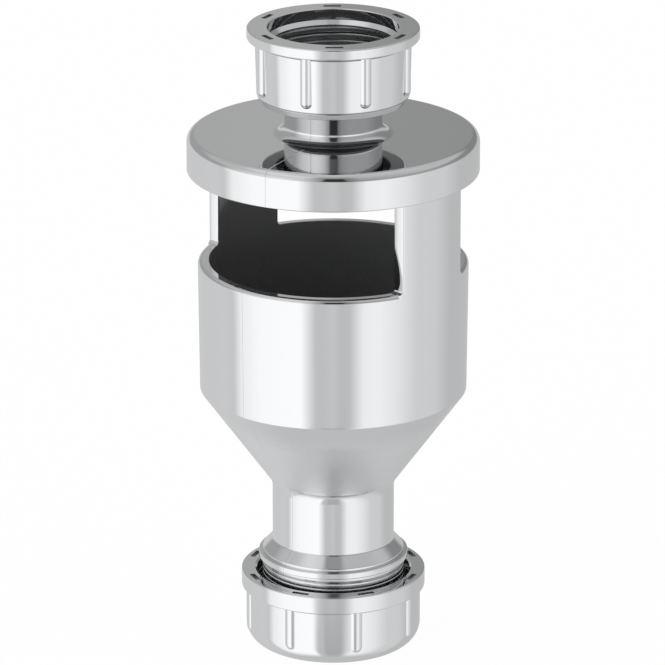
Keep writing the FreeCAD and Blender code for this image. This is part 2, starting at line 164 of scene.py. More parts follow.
def finished(name, bm, materials, body, nodes=()):
    """Turns a bmesh into a piece that rides on a body and stands for its CAD nodes."""
    bmesh.ops.recalc_face_normals(bm, faces=bm.faces)
    mesh = bpy.data.meshes.new(name)
    bm.to_mesh(mesh)
    bm.free()
    mesh.shade_smooth()
    mesh.set_sharp_from_angle(angle=SHARP)
    for material in materials:
        mesh.materials.append(material)
    piece = bpy.data.objects.new(name, mesh)
    bpy.context.scene.collection.objects.link(piece)
    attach(piece, body)
    if nodes:
        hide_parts(*nodes)
    print(name, len(mesh.polygons), "faces")
    return piece


# %% [markdown]
# ## Shader maths
# A material is a few sums on textures. One small class wraps a node's socket, so that the sums
# are written as Python writes them, and each one adds its Math node to the tree.

# %% A socket that can be reckoned with
class Wire:
    """A socket's value in a node tree."""

    def __init__(self, tree, socket):
        self.tree, self.socket = tree, socket

    def maths(self, operation, *others):
        """Adds a Math node that takes this wire and then the others."""
        terms = dict(enumerate((self, *others)))
        return node(self.tree, "ShaderNodeMath", {"operation": operation}, terms)

    def __add__(self, other):
        return self.maths("ADD", other)

    __radd__ = __add__

    def __mul__(self, other):
        return self.maths("MULTIPLY", other)

    def __rsub__(self, other):
        return (self * -1.0) + other


# %% Nodes
def set_stops(ramp, stops):
    """Fills a ramp with (position, grey level) stops, lowest position first."""
    while len(ramp.elements) < len(stops):
        ramp.elements.new(0.5)
    for element, (position, level) in zip(ramp.elements, stops):
        element.position = position
        element.color = (level, level, level, 1)


def node(tree, kind, settings=None, inputs=None, output=0):
    """Adds a node, makes its settings, then feeds its sockets; returns one output as a Wire."""
    made = tree.nodes.new(kind)
    for key, value in (settings or {}).items():
        if key == "stops":
            set_stops(made.color_ramp, value)
        else:
            setattr(made, key, value)
    for key, value in (inputs or {}).items():
        if isinstance(value, Wire):
            tree.links.new(value.socket, made.inputs[key])
        else:
            made.inputs[key].default_value = value
    return Wire(tree, made.outputs[output])


def step_up(tree, value, low, high):
    """0 below low, 1 above high, with a smooth rise between."""
    sockets = {"Value": value, "From Min": low, "From Max": high}
    return node(tree, "ShaderNodeMapRange", {"interpolation_type": "SMOOTHSTEP"}, sockets)


def reach(tree, place, axis):
    """How far a place or a direction lies along an axis."""
    settings = {"operation": "DOT_PRODUCT"}
    return node(tree, "ShaderNodeVectorMath", settings, {0: place, 1: axis}, output=1)


def noise(tree, place, scale, detail):
    """Soft noise between 0 and 1."""
    sockets = {"Vector": place, "Scale": scale, "Detail": detail}
    return node(tree, "ShaderNodeTexNoise", {}, sockets)


def bump(tree, height, strength, distance):
    """Normal of a surface that rises by this height."""
    sockets = {"Height": height, "Strength": strength, "Distance": distance}
    return node(tree, "ShaderNodeBump", {}, sockets)


# %% An empty material
def new_material(name):
    """Empty material with a Principled shader."""
    material = bpy.data.materials.new(name)
    material.use_nodes = True
    tree = material.node_tree
    return material, tree, tree.nodes["Principled BSDF"]


# %% [markdown]
# ## Finishes
# Bright chrome over moulded plastic is a metal with hardly any roughness. Two things keep it
# from looking like a computer's mirror: a very long, very low waviness left by the moulding
# tool, and a slight haze that comes and goes. A fine raised line on the cap and on the body shows
# where the halves of the mould met. The cone's lower part is satin and a little paler, which
# fades out towards its top.
#
# In the slots, in inner corners, under the nuts and in their bores the plate is duller, and its
# darker colour there is painted shade. The threads are satin. Inside, the plating stops, and the
# bare plastic is a smooth black. The seals are matt rubber.

# %% Chrome, black plastic and rubber
CHROME_COLOUR, CHROME_ROUGHNESS = (0.80, 0.81, 0.818), 0.035
WAVE_SCALE, WAVE_HEIGHT = 60.0, 0.02
HAZE_SCALE, HAZE = 90.0, 0.03
SEAM_WIDTH, SEAM_HEIGHT = 0.22, 0.05
SATIN_EDGE, SATIN_FADE, SATIN_ROUGHNESS, SATIN_PALER = 2.5, 5.0, 0.3, 0.12
GLOSS_SCALE, GRAIN_DEPTH = 120.0, 0.5


def seam_height(tree, place, turn):
    """Fine raised line along a plane through the axis, square to this turn in degrees."""
    across = (math.cos(math.radians(turn)), math.sin(math.radians(turn)), 0)
    offset = reach(tree, place, across).maths("ABSOLUTE")
    return step_up(tree, offset, SEAM_WIDTH * MM, 0) * SEAM_HEIGHT


def satin_share(tree, place, low, high):
    """1 between two levels in millimetres, soft at the lower one and fading out at the upper."""
    level = reach(tree, place, (0, 0, 1 / MM))
    over_low = step_up(tree, level, low - SATIN_EDGE, low + SATIN_EDGE)
    return over_low * (1 - step_up(tree, level, high - SATIN_FADE, high + SATIN_FADE))


def chrome_finish(name, colour=CHROME_COLOUR, roughness=CHROME_ROUGHNESS, seam=None, satin=None):
    """Plate, which may have a parting line at a turn, and be satin between two levels."""
    material, tree, shader = new_material(name)
    place = node(tree, "ShaderNodeTexCoord", output=3)
    rough = roughness + noise(tree, place, HAZE_SCALE, 3.0) * HAZE
    height = noise(tree, place, WAVE_SCALE, 0.0) * WAVE_HEIGHT
    if seam is not None:
        height = height + seam_height(tree, place, seam)
    shader.inputs["Base Color"].default_value = (*colour, 1)
    if satin is not None:
        share = satin_share(tree, place, *satin)
        rough = rough + share * SATIN_ROUGHNESS
        scaled = {0: colour, "Scale": share * SATIN_PALER + 1.0}
        paler = node(tree, "ShaderNodeVectorMath", {"operation": "SCALE"}, scaled)
        tree.links.new(paler.socket, shader.inputs["Base Color"])
    tree.links.new(rough.socket, shader.inputs["Roughness"])
    tree.links.new(bump(tree, height, 1.0, MM).socket, shader.inputs["Normal"])
    shader.inputs["Metallic"].default_value = 1.0
    return material


def dull_finish(name, colour, rough_low, rough_high, scale, height):
    """Black plastic or rubber with a fine grain and uneven gloss."""
    material, tree, shader = new_material(name)
    place = node(tree, "ShaderNodeTexCoord", output=3)
    rough = rough_low + noise(tree, place, GLOSS_SCALE, 4.0) * (rough_high - rough_low)
    grain = bump(tree, noise(tree, place, scale, 2.0), height, GRAIN_DEPTH * MM)
    tree.links.new(rough.socket, shader.inputs["Roughness"])
    tree.links.new(grain.socket, shader.inputs["Normal"])
    shader.inputs["Base Color"].default_value = (*colour, 1)
    return material


chrome = chrome_finish("bright_chrome")
chrome_body = chrome_finish("bright_chrome_body", seam=0.0, satin=(57.0, 79.0))
chrome_cap = chrome_finish("bright_chrome_cap", seam=14.3)
thread_plate = chrome_finish("thin_plate_on_threads", roughness=0.2)
# Dull plate with a darker colour that is painted shade, for inner corners, the nuts' undersides and
# bores.
painted_shade_plate = chrome_finish("dull_plate_in_recess", (0.25, 0.25, 0.255), 0.4)
# Plate with a darker colour that is painted shade on the floors and walls of the slots, and a
# little duller.
painted_slot_shade = chrome_finish("thin_plate_in_slots", (0.52, 0.525, 0.53), 0.3)
plastic = dull_finish("bare_black_plastic", (0.24, 0.242, 0.25), 0.13, 0.22, 900.0, 0.04)
rubber = dull_finish("matt_rubber", (0.05, 0.05, 0.051), 0.6, 0.75, 1500.0, 0.2)
finishes = (chrome, chrome_body, chrome_cap, thread_plate, painted_shade_plate, painted_slot_shade, plastic, rubber)
print("finishes:", [finish.name for finish in finishes])

# %% [markdown]
# ## The body
# Posts, bowl, cone, neck and spigot are one moulding. The bowl and all that is below it are one
# turned ring. The posts can't be turned: each is a stretch of the same wall, cut off by two flat
# sides, so each is a loft of one section whose half width grows at the foot, where a small fillet
# leads from the post's side into the sill. A post's front side stands 13.7 from the middle plane
# and its back side 14.9, as the photograph shows it.

# %% Body sizes
BODY_RADIUS, BODY_WALL, BOWL_DRAFT = 43.55, 3.75, 0.45
CONE_TOP, SILL, WINDOW_TOP = 87.6, 130.7, 163.0
NECK_TOP, NECK_FOOT = 55.5, 35.9
NECK_RADIUS, SOCKET_RADIUS, THROAT_RADIUS = 19.75, 16.3, 15.2
SPIGOT_ROOT, SPIGOT_CREST = 22.9, 24.4
COLLAR_FOOT, COLLAR_TOP = 29.3, 31.4
SHOULDER_RADIUS, SHOULDER_TOP = 23.0, 32.4
SEAT_RADIUS, SEAT_HEIGHT = 21.3, 6.0
THROAT_TOP, STOP = 54.3, 36.2
SILL_ROUND, RIM_BAND = 1.4, 3.0

# %% Bowl, cone, neck and spigot
body = bmesh.new()
CROWN_BORE = BODY_RADIUS - BODY_WALL
BOWL_BORE = CROWN_BORE - BOWL_DRAFT
turned(body, [
    (SEAT_RADIUS, BODY_FOOT, 0, CHROME),
    (SPIGOT_ROOT, BODY_FOOT, 0.3, CHROME),
    (SPIGOT_ROOT, COLLAR_FOOT, 0.3, CHROME),
    (SPIGOT_CREST - 0.15, COLLAR_FOOT, 0.25, CHROME),
    (SPIGOT_CREST - 0.15, COLLAR_TOP, 0.35, CHROME),
    (SHOULDER_RADIUS, COLLAR_TOP, 0.1, CHROME),
    (SHOULDER_RADIUS, SHOULDER_TOP, 0.5, CHROME),
    (NECK_RADIUS, NECK_FOOT, 0.9, CHROME),
    (NECK_RADIUS, NECK_TOP, 6.0, CHROME),
    (BODY_RADIUS - BOWL_DRAFT, CONE_TOP, 1.0, CHROME),
    (BODY_RADIUS, SILL - RIM_BAND, 0, CHROME),
    (BODY_RADIUS, SILL, SILL_ROUND, CHROME),
    (CROWN_BORE, SILL, 0.3, BLACK),
    (BOWL_BORE, CONE_TOP, 2.0, BLACK),
    (THROAT_RADIUS, THROAT_TOP, 1.0, BLACK),
    (THROAT_RADIUS, STOP, 0, BLACK),
    (SOCKET_RADIUS, STOP, 0, BLACK),
    (SOCKET_RADIUS, BODY_FOOT + SEAT_HEIGHT, 0, BLACK),
])
print("bowl ring", len(body.faces), "faces")

# %% Posts
POST_FRONT, POST_BACK, POST_EDGE, FOOT_FILLET = 13.7, 14.9, 0.35, 1.3
POST_ARC_STEPS, POST_EDGE_STEPS, FILLET_STEPS = 40, 4, 8


def post_section(spread):
    """Points (x, y, material) round the +X post, its sides moved out by so much."""
    points = []
    for radius, way, material in ((BODY_RADIUS, 1, CHROME), (CROWN_BORE, -1, BLACK)):
        inward = POST_EDGE if radius == BODY_RADIUS else -POST_EDGE
        centre = radius - inward
        limits = {side: math.asin((half + spread - POST_EDGE) / centre) for side, half in
                  ((-1, POST_FRONT), (1, POST_BACK))}
        for side in (-way, way):
            limit = limits[side]
            if side == way:
                for i in range(1, POST_ARC_STEPS):
                    share = i / POST_ARC_STEPS
                    angle = way * (limit * share - limits[-way] * (1 - share))
                    points.append((radius * math.cos(angle), radius * math.sin(angle), material))
            facing = side * limit + (0 if inward > 0 else math.pi)
            sideways = side * math.pi / 2
            start, end = (sideways, facing) if side == -way else (facing, sideways)
            sweep = math.remainder(end - start, TURN)
            x, y = centre * math.cos(side * limit), centre * math.sin(side * limit)
            for i in range(POST_EDGE_STEPS + 1):
                angle = start + sweep * i / POST_EDGE_STEPS
                edge_x, edge_y = POST_EDGE * math.cos(angle), POST_EDGE * math.sin(angle)
                points.append((x + edge_x, y + edge_y, CHROME))
    return points


def post_levels():
    """(level, spread of the sides) up the post, close together in the fillet at its foot."""
    levels = [(SILL - SILL_ROUND, FOOT_FILLET)]
    for i in range(FILLET_STEPS + 1):
        angle = math.pi / 2 * i / FILLET_STEPS
        level = SILL + FOOT_FILLET * (1 - math.cos(angle))
        levels.append((level, FOOT_FILLET * (1 - math.sin(angle))))
    levels += [(SILL + FOOT_FILLET + HOLD, 0), (WINDOW_TOP, 0)]
    return levels


def add_post(bm, way):
    """One post on the +X or the -X side."""
    rings = []
    for level, spread in post_levels():
        section = post_section(spread)
        rings.append([bm.verts.new((way * x * MM, y * MM, level * MM)) for x, y, _ in section])
    for low, high in zip(rings, rings[1:]):
        for i in range(len(section)):
            j = (i + 1) % len(section)
            face = bm.faces.new((low[i], low[j], high[j], high[i]))
            black = section[i][2] == BLACK or section[j][2] == BLACK
            face.material_index = BLACK if black else CHROME
    bm.faces.new(rings[0])
    bm.faces.new(rings[-1])


for way in (1, -1):
    add_post(body, way)
turned(body, [
    (CROWN_BORE, WINDOW_TOP, 0.2, CHROME),
    (BODY_RADIUS, WINDOW_TOP, 0.2, CHROME),
    (BODY_RADIUS, BODY_TOP, 0.2, CHROME),
    (CROWN_BORE, BODY_TOP, 0.2, BLACK),
])
finished("body_moulding", body, [chrome_body, plastic], "tundish", ["body"])

# %% [markdown]
# ## The cap
# The lid, its skirt and the inlet stub are one moulding, all of it turned. The flat top meets the
# stub in a generous fillet, and the rounding at the lid's rim catches the overhead light.

# %% Cap
CAP_RADIUS, SKIRT_WALL, PLATE_TOP = 46.9, 3.0, 173.0
STUB_RADIUS, STUB_BORE, FLANGE_RADIUS = 16.05, 13.5, 19.2
FLANGE_HEIGHT = 2.2
CAP_ROUND, STUB_FOOT, STUB_TAPER = 2.6, 3.9, 0.6
cap = bmesh.new()
turned(cap, [
    (CAP_RADIUS - SKIRT_WALL, BODY_TOP, 0.3, BLACK),
    (CAP_RADIUS - SKIRT_WALL, CAP_FOOT, 0.3, CHROME),
    (CAP_RADIUS, CAP_FOOT, 0.5, CHROME),
    (CAP_RADIUS, PLATE_TOP, CAP_ROUND, CHROME),
    (STUB_RADIUS - STUB_TAPER, PLATE_TOP, STUB_FOOT, CHROME),
    (STUB_RADIUS, STUB_TOP - FLANGE_HEIGHT, 0, BLACK),
    (FLANGE_RADIUS, STUB_TOP - FLANGE_HEIGHT, 0.3, CHROME),
    (FLANGE_RADIUS, STUB_TOP, 0.3, BLACK),
    (STUB_BORE, STUB_TOP, 0.3, BLACK),
    (STUB_BORE, BODY_TOP, 0.5, BLACK),
])
finished("cap_moulding", cap, [chrome_cap, plastic], "tundish", ["cap"])

# %% [markdown]
# ## The nuts
# Both nuts are turned cups with eight grip ribs, low round bars half sunk in the wall, and a row
# of shallow slots in the flat of the rim. Ribs and slots repeat by a rule, and a screw thread
# follows one, so Geometry Nodes make them: one tree sets copies of a bar or a cutter about the
# axis, and another draws a thread. Each tree is run once and its result kept as a plain mesh.

# %% A tree and its result
def new_tree(name, sizes):
    """Empty geometry tree: its input sizes as Wires, and its output socket."""
    tree = bpy.data.node_groups.new(name, "GeometryNodeTree")
    tree.interface.new_socket("Geometry", in_out="INPUT", socket_type="NodeSocketGeometry")
    for size, kind in sizes.items():
        tree.interface.new_socket(size, in_out="INPUT", socket_type="NodeSocket" + kind)
    tree.interface.new_socket("Geometry", in_out="OUTPUT", socket_type="NodeSocketGeometry")
    given = tree.nodes.new("NodeGroupInput")
    result = tree.nodes.new("NodeGroupOutput")
    wires = {socket.name: Wire(tree, socket) for socket in given.outputs if socket.name}
    return tree, wires, result.inputs[0]


def grown(name, mesh, tree, values):
    """Plain mesh that a geometry tree makes from a seed mesh and these sizes."""
    seed = bpy.data.objects.new(name, mesh)
    bpy.context.scene.collection.objects.link(seed)
    modifier = seed.modifiers.new("grown", "NODES")
    modifier.node_group = tree
    items = tree.interface.items_tree
    sockets = {item.name: item.identifier for item in items if item.in_out == "INPUT"}
    for key, value in values.items():
        modifier[sockets[key]] = value
    depsgraph = bpy.context.evaluated_depsgraph_get()
    result = bpy.data.meshes.new_from_object(seed.evaluated_get(depsgraph))
    bpy.data.objects.remove(seed)
    print(name, len(result.polygons), "faces")
    return result


# %% Copies about the axis
def ring_tree(name, material):
    """Tree that sets copies of the incoming mesh evenly about the Z axis."""
    tree, given, result = new_tree(name, {"Count": "Int", "First Turn": "Float"})
    line = node(tree, "GeometryNodeMeshLine", {}, {"Count": given["Count"], "Offset": (0, 0, 0)})
    index = node(tree, "GeometryNodeInputIndex")
    step = node(tree, "ShaderNodeMath", {"operation": "DIVIDE"}, {0: TURN, 1: given["Count"]})
    turn = node(tree, "ShaderNodeCombineXYZ", {}, {"Z": index * step + given["First Turn"]})
    sources = {"Points": line, "Instance": given["Geometry"], "Rotation": turn}
    placed = node(tree, "GeometryNodeInstanceOnPoints", {}, sources)
    real = node(tree, "GeometryNodeRealizeInstances", {}, {"Geometry": placed})
    done = node(tree, "GeometryNodeSetMaterial", {}, {"Geometry": real, "Material": material})
    tree.links.new(done.socket, result)
    return tree


def ring_of(name, bm, count, first_turn, material):
    """Copies of a small mesh about the axis, the first turned by so many degrees."""
    mesh = bpy.data.meshes.new(name)
    bm.to_mesh(mesh)
    bm.free()
    values = {"Count": count, "First Turn": math.radians(first_turn)}
    return grown(name, mesh, ring_tree(name + "_ring", material), values)


# %% Screw threads
THREAD_STEPS = 132
# A ridge grows to its full height over a sixth of a turn at each end. Its foot is sunk in the
# wall by a share of its depth, and its crest is rounded by a share of the crest's width.
GROWTH_PER_TURN, SUNK_SHARE, ROUND_SHARE = 6.0, 0.12, 0.45


def thread_tree(name, material):
    """Tree that draws one right-handed thread: a spiral swept with a rounded ridge."""
    sizes = ("Root Radius", "Pitch", "Turns", "Foot", "Depth", "Base", "Crest", "Round")
    tree, given, result = new_tree(name, {size: "Float" for size in sizes})
    root = given["Root Radius"]
    turns = given["Turns"]
    run = {"Resolution": THREAD_STEPS, "Rotations": turns, "Height": given["Pitch"] * turns,
           "Start Radius": root, "End Radius": root}
    spiral = node(tree, "GeometryNodeCurveSpiral", {}, run)
    lift = node(tree, "ShaderNodeCombineXYZ", {}, {"Z": given["Foot"]})
    spiral = node(tree, "GeometryNodeTransform", {}, {"Geometry": spiral, "Translation": lift})
    spiral = node(tree, "GeometryNodeSetCurveNormal", {"mode": "Z_UP"}, {"Curve": spiral})
    along = node(tree, "GeometryNodeSplineParameter")
    from_start = along * turns * GROWTH_PER_TURN
    from_end = (1 - along) * turns * GROWTH_PER_TURN
    ends = from_start.maths("MINIMUM", from_end).maths("MINIMUM", 1.0)
    spiral = node(tree, "GeometryNodeSetCurveRadius", {}, {"Curve": spiral, "Radius": ends})
    crest, sunk = given["Depth"], given["Depth"] * -SUNK_SHARE
    places = ((sunk, "Base", 0.5), (crest, "Crest", 0.5),
              (crest, "Crest", -0.5), (sunk, "Base", -0.5))
    corners = {}
    for i, (out, width, share) in enumerate(places):
        corner = {"X": out, "Y": given[width] * share}
        corners["Point " + str(i + 1)] = node(tree, "ShaderNodeCombineXYZ", {}, corner)
    ridge = node(tree, "GeometryNodeCurvePrimitiveQuadrilateral", {"mode": "POINTS"}, corners)
    soft = {"Curve": ridge, "Radius": given["Round"], "Count": 3, "Limit Radius": True}
    ridge = node(tree, "GeometryNodeFilletCurve", {"mode": "POLY"}, soft)
    sweep = {"Curve": spiral, "Profile Curve": ridge, "Fill Caps": True}
    swept = node(tree, "GeometryNodeCurveToMesh", {}, sweep)
    real = node(tree, "GeometryNodeRealizeInstances", {}, {"Geometry": swept})
    done = node(tree, "GeometryNodeSetMaterial", {}, {"Geometry": real, "Material": material})
    tree.links.new(done.socket, result)
    return tree


def add_thread(name, body_name, root, pitch, foot, head, depth, base, crest):
    """One thread between two levels, in millimetres; a negative depth points at the axis."""
    sizes = {"Root Radius": root, "Pitch": pitch, "Foot": foot, "Depth": depth, "Base": base,
             "Crest": crest, "Round": crest * ROUND_SHARE}
    values = {key: size * MM for key, size in sizes.items()}
    values["Turns"] = (head - foot) / pitch
    tree = thread_tree(name + "_tree", thread_plate)
    mesh = grown(name, bpy.data.meshes.new(name), tree, values)
    bm = bmesh.new()
    bm.from_mesh(mesh)
    bmesh.ops.remove_doubles(bm, verts=bm.verts, dist=1e-7)
    return finished(name, bm, [thread_plate], body_name)


# %% Ribs and slot cutters
RIB_SIDES, TIP_STEPS = 40, 10


def pill(radius, axis, low, high):
    """Upright bar with a half-round lower end, its axis on +X."""
    bm = bmesh.new()
    rings = []
    angles = [math.pi / 2 * i / TIP_STEPS for i in range(1, TIP_STEPS + 1)]
    heights = [(math.sin(angle), low + radius - radius * math.cos(angle)) for angle in angles]
    for share, level in heights + [(1, low + radius + HOLD), (1, high)]:
        ring = []
        for s in range(RIB_SIDES):
            angle = TURN * s / RIB_SIDES
            x = axis + radius * share * math.cos(angle)
            ring.append(bm.verts.new((x * MM, radius * share * math.sin(angle) * MM, level * MM)))
        rings.append(ring)
    tip = bm.verts.new((axis * MM, 0, low * MM))
    for s in range(RIB_SIDES):
        t = (s + 1) % RIB_SIDES
        bm.faces.new((tip, rings[0][t], rings[0][s]))
        for under, over in zip(rings, rings[1:]):
            bm.faces.new((under[s], under[t], over[t], over[s]))
    bm.faces.new(rings[-1])
    bmesh.ops.recalc_face_normals(bm, faces=bm.faces)
    return bm


def block(inner, outer, half, low, high):
    """Plain block on +X, used only to cut a slot."""
    bm = bmesh.new()
    bmesh.ops.create_cube(bm, size=1.0)
    for vert in bm.verts:
        x = outer if vert.co.x > 0 else inner
        y = half if vert.co.y > 0 else -half
        z = high if vert.co.z > 0 else low
        vert.co = Vector((x, y, z)) * MM
    return bm


def cut_slots(piece, cutter_mesh):
    """Takes the slots out of a finished piece."""
    cutter = bpy.data.objects.new(piece.name + "_cutter", cutter_mesh)
    bpy.context.scene.collection.objects.link(cutter)
    modifier = piece.modifiers.new("slots", "BOOLEAN")
    modifier.operation = "DIFFERENCE"
    modifier.solver = "EXACT"
    modifier.material_mode = "TRANSFER"
    modifier.object = cutter
    depsgraph = bpy.context.evaluated_depsgraph_get()
    result = bpy.data.meshes.new_from_object(piece.evaluated_get(depsgraph))
    piece.modifiers.clear()
    old = piece.data
    piece.data = result
    bpy.data.meshes.remove(old)
    bpy.data.objects.remove(cutter)
    result.shade_smooth()
    result.set_sharp_from_angle(angle=SHARP)
    print(piece.name, len(result.polygons), "faces with its slots")


# %% Inlet nut
RIB_COUNT = 8
INLET_SLOTS, OUTLET_SLOTS = 6, 8
SLOT_HALF, SLOT_WIDTH, SLOT_DEPTH, SLOT_CLEAR = 2.8, 1.7, 0.9, 1.0
INLET_SLOT_BORE, OUTLET_SLOT_BORE = 23.3, 26.7
INLET_TURN, INLET_SLOT_TURN = 20.8, 72.05
THREAD_ROOT, CHAMBER_BORE, LIP_BORE = 20.96, 20.5, 18.4
INLET_RIM, NUT_FOOT = 3.6, INLET_FOOT - 0.6
INLET_EDGE, INLET_CHAMFER, INLET_SKIRT, INLET_WALL, INLET_FLANGE = 22.95, 24.35, 24.5, 25.0, 27.6
MOUTH_DEPTH, LEAD_IN, FIRST_CREST = 3.65, 1.3, 19.65
LEAD_END = INLET_TOP - MOUTH_DEPTH - LEAD_IN
CHAMBER_TOP, LIP_TOP = INLET_FOOT + 8.8, INLET_FOOT + 2.8
PITCH, THREAD_DEPTH, THREAD_FOOT = 2.309, 1.485, INLET_FOOT + 10.84
inlet = bmesh.new()
turned(inlet, [
    # Runs in the second material are painted shade: the underside, a fine line above the chamfer,
    # the corner under the rim and the bore.
    (LIP_BORE, NUT_FOOT, 0.3, PAINTED_SHADE),
    (INLET_EDGE, NUT_FOOT, 0.4, CHROME),
    (INLET_CHAMFER, NUT_FOOT + 2.1, 0.1, CHROME),
    (INLET_CHAMFER - 0.15, NUT_FOOT + 2.25, 0.05, PAINTED_SHADE),
    (INLET_CHAMFER - 0.07, NUT_FOOT + 2.35, 0.0, CHROME),
    (INLET_SKIRT, NUT_FOOT + 2.6, 0.25, CHROME),
    (INLET_WALL, INLET_TOP - INLET_RIM, 0.95, PAINTED_SHADE),
    (INLET_WALL + 1.05, INLET_TOP - INLET_RIM, 0, CHROME),
    (INLET_FLANGE, INLET_TOP - INLET_RIM, 0.7, CHROME),
    (INLET_FLANGE, INLET_TOP, 0.45, CHROME),
    (THREAD_ROOT, INLET_TOP, 0.3, CHROME),
    (THREAD_ROOT, INLET_TOP - MOUTH_DEPTH, 0, CHROME),
    (FIRST_CREST, LEAD_END, 0.12, CHROME),
    (FIRST_CREST, LEAD_END - 0.35, 0.12, CHROME),
    (THREAD_ROOT, LEAD_END - 1.05, 0, CHROME),
    (THREAD_ROOT, CHAMBER_TOP, 0, CHROME),
    (CHAMBER_BORE, CHAMBER_TOP, 0, PAINTED_SHADE),
    (CHAMBER_BORE, LIP_TOP, 0, PAINTED_SHADE),
    (LIP_BORE, LIP_TOP, 0, PAINTED_SHADE),
])
inlet_piece = finished("inlet_nut_moulding", inlet, [chrome, painted_shade_plate], "coupling",
                       ["inlet_nut"])
slots = block(INLET_SLOT_BORE, INLET_SLOT_BORE + SLOT_WIDTH, SLOT_HALF,
              INLET_TOP - SLOT_DEPTH, INLET_TOP + SLOT_CLEAR)
cut_slots(inlet_piece, ring_of("inlet_slots", slots, INLET_SLOTS, INLET_SLOT_TURN, painted_slot_shade))
ribs = pill(radius=2.0, axis=24.1, low=NUT_FOOT + 3.7, high=INLET_TOP - 1.2)
ribs = ring_of("inlet_ribs", ribs, RIB_COUNT, INLET_TURN, chrome)
ribs_piece = bpy.data.objects.new("inlet_nut_ribs", ribs)
add_thread("inlet_nut_thread", "coupling", THREAD_ROOT, PITCH, THREAD_FOOT,
           LEAD_END - 0.1, -THREAD_DEPTH, base=1.9, crest=0.35)

# %% Outlet nut
OUTLET_TURN, OUTLET_SLOT_TURN = 11.8, 18.8
OUTLET_THREAD, OUTLET_LIP_BORE, OUTLET_LIP, OUTLET_RIM = 25.0, 17.0, 4.0, 5.8
OUTLET_WALL, OUTLET_FLANGE, OUTLET_FOOT_ROUND, MOUTH_CHAMFER = 28.4, 29.9, 6.5, 0.5
outlet = bmesh.new()
turned(outlet, [
    (OUTLET_LIP_BORE, 0.0, 0.3, CHROME),
    (OUTLET_WALL, 0.0, OUTLET_FOOT_ROUND, CHROME),
    # The corner under the rim and the bore of the mouth are in painted shade.
    (OUTLET_WALL, OUTLET_TOP - OUTLET_RIM, 0.55, PAINTED_SHADE),
    (OUTLET_WALL + 0.6, OUTLET_TOP - OUTLET_RIM, 0, CHROME),
    (OUTLET_FLANGE, OUTLET_TOP - OUTLET_RIM, 0.5, CHROME),
    (OUTLET_FLANGE, OUTLET_TOP, 0.4, CHROME),
    (OUTLET_THREAD + MOUTH_CHAMFER, OUTLET_TOP, 0.15, CHROME),
    (OUTLET_THREAD, OUTLET_TOP - MOUTH_CHAMFER, 0, PAINTED_SHADE),
    (OUTLET_THREAD, OUTLET_LIP, 0, CHROME),
    (OUTLET_LIP_BORE, OUTLET_LIP, 0.3, CHROME),
])
outlet_piece = finished("outlet_nut_moulding", outlet, [chrome, painted_shade_plate], "tundish",
                        ["outlet_nut"])
slots = block(OUTLET_SLOT_BORE, OUTLET_SLOT_BORE + SLOT_WIDTH, SLOT_HALF,
              OUTLET_TOP - SLOT_DEPTH, OUTLET_TOP + SLOT_CLEAR)
cut_slots(outlet_piece, ring_of("outlet_slots", slots, OUTLET_SLOTS, OUTLET_SLOT_TURN, painted_slot_shade))
ribs = pill(radius=2.5, axis=26.65, low=4.6, high=OUTLET_TOP - 2.7)
ribs = ring_of("outlet_ribs", ribs, RIB_COUNT, OUTLET_TURN, chrome)
outlet_ribs_piece = bpy.data.objects.new("outlet_nut_ribs", ribs)

# %% Spigot thread and the outlet nut's own
FINE_PITCH, FINE_FOOT = 1.814, 8.09
add_thread("outlet_spigot_thread", "tundish", SPIGOT_ROOT, FINE_PITCH, FINE_FOOT,
           COLLAR_FOOT - 0.2, 1.5, base=1.7, crest=0.35)
add_thread("outlet_nut_thread", "tundish", OUTLET_THREAD, FINE_PITCH,
           FINE_FOOT + FINE_PITCH / 2, OUTLET_TOP - 3.6, -1.1, base=1.15, crest=0.2)

# %% Ribs ride with their nuts
for piece, body_name in ((ribs_piece, "coupling"), (outlet_ribs_piece, "tundish")):
    bpy.context.scene.collection.objects.link(piece)
    piece.data.shade_smooth()
    piece.data.set_sharp_from_angle(angle=SHARP)
    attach(piece, body_name)
    print(piece.name, len(piece.data.polygons), "faces")

# %% [markdown]
# ## Seals
# The washer, the seal and the slip ring inside the nuts keep their CAD meshes. The first two get
# rubber, and the slip ring gets plastic.

# %% Seals and rings
kept = {"inlet_washer": rubber, "outlet_seal": rubber, "outlet_slip_ring": plastic}
for name, material in kept.items():
    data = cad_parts[name].data
    data.materials.clear()
    data.materials.append(material)
    print(name, "finished in", material.name)

# %% [markdown]
# ## The studio
# Chrome shows its surroundings, so the light is drawn as a sky of soft panels round the piece:
# a bright panel on each side of the photographer's place, a grey gap between them with a dark
# booth above it, and quiet greys overhead, behind and below. The directions are fixed in the
# room, and no panel follows the camera. Straight to the camera the sky is plain white.

# %% Sky of soft panels
LIGHT = 1.163
BELOW_GAP, GAP_LEVEL, GAP_SIDE_LEVEL = (-21.6, -21.2), 0.42, 0.52
BOOTH_LEVEL, CEILING_LEVEL, NADIR_LEVEL = 0.03, 0.48, 0.52
CAMERA_TURN = math.radians(41.3)
FRONT = Vector((math.sin(CAMERA_TURN), -math.cos(CAMERA_TURN), 0))
RIGHT = Vector((math.cos(CAMERA_TURN), math.sin(CAMERA_TURN), 0))

world = bpy.data.worlds.new("studio")
bpy.context.scene.world = world
world.use_nodes = True
sky = world.node_tree
sky.nodes.clear()
direction = node(sky, "ShaderNodeTexCoord", output=0)


def along(axis):
    """How far the direction points along a fixed axis."""
    return reach(sky, direction, axis)


side = along(RIGHT).maths("ARCTAN2", along(FRONT)) * (180 / math.pi)
rise = along(Vector((0, 0, 1))).maths("ARCSINE") * (180 / math.pi)


def band(value, low, high, soft):
    """1 between low and high, with soft ends."""
    over_low = step_up(sky, value, low - soft, low + soft)
    return over_low * (1 - step_up(sky, value, high - soft, high + soft))


